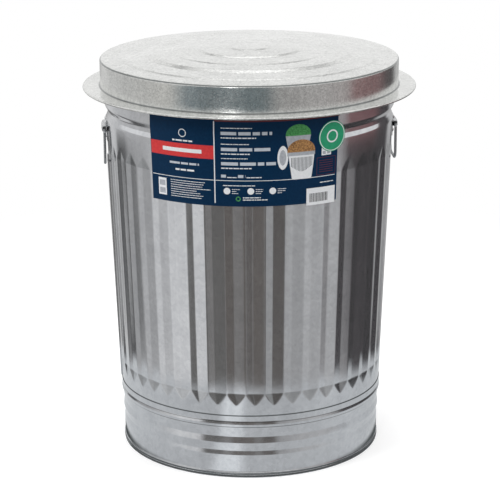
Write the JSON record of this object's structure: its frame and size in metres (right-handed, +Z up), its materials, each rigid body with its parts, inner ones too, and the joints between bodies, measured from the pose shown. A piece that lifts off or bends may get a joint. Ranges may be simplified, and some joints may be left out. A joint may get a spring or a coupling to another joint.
{
  "type": "galvanized trash can with lid",
  "caption": "Tapered round trash can in fluted galvanized sheet steel, with a raised floor, a rolled rim, wire drop handles in riveted ears and a stepped lift-off lid.",
  "frame": {"origin": "on the floor under the middle of the can, at the bottom of the foot hem", "axes": "+Z up along the can's axis, the two drop handles on +X and -X, the label towards -Y"},
  "size_m": [0.574, 0.574, 0.7059],
  "materials": {
    "galvanized_sheet": "hot-dip galvanized sheet with a faint spangle",
    "galvanized_lid": "hot-dip galvanized sheet, a little duller and lighter than the wall",
    "galvanized_fitting": "stamped galvanized steel",
    "rivet_steel": "zinc-plated rivets",
    "steel_wire": "galvanized drawn wire",
    "label_paper": "printed paper, satin",
    "sticker_green": "printed paper, satin",
    "sticker_white": "printed paper, satin"
  },
  "bodies": {
    "can": {"body_wall": "galvanized_sheet", "rim_wire": "steel_wire", "base_band": "galvanized_sheet", "bottom_pan": "galvanized_sheet", "ear_left": "galvanized_fitting", "ear_right": "galvanized_fitting", "ear_rivets_left": "rivet_steel", "ear_rivets_right": "rivet_steel", "label_sheet": "label_paper", "round_sticker": "sticker_green", "barcode_sticker": "sticker_white"},
    "lid": {"lid_shell": "galvanized_lid"},
    "bail_left": {"bail_left": "steel_wire"},
    "bail_right": {"bail_right": "steel_wire"}
  },
  "joints": [
    {"name": "lid_lift", "type": "slide", "parent": "can", "child": "lid", "axis": [0, 0, 1], "range_m": [0, 0.15]},
    {"name": "handle_left_swing", "type": "hinge", "parent": "can", "child": "bail_left", "pos_m": [-0.2512, 0, 0.56865], "axis": [0, 1, 0], "range_deg": [0, 170]},
    {"name": "handle_right_swing", "type": "hinge", "parent": "can", "child": "bail_right", "pos_m": [0.2512, 0, 0.56865], "axis": [0, -1, 0], "range_deg": [0, 170]}
  ]
}
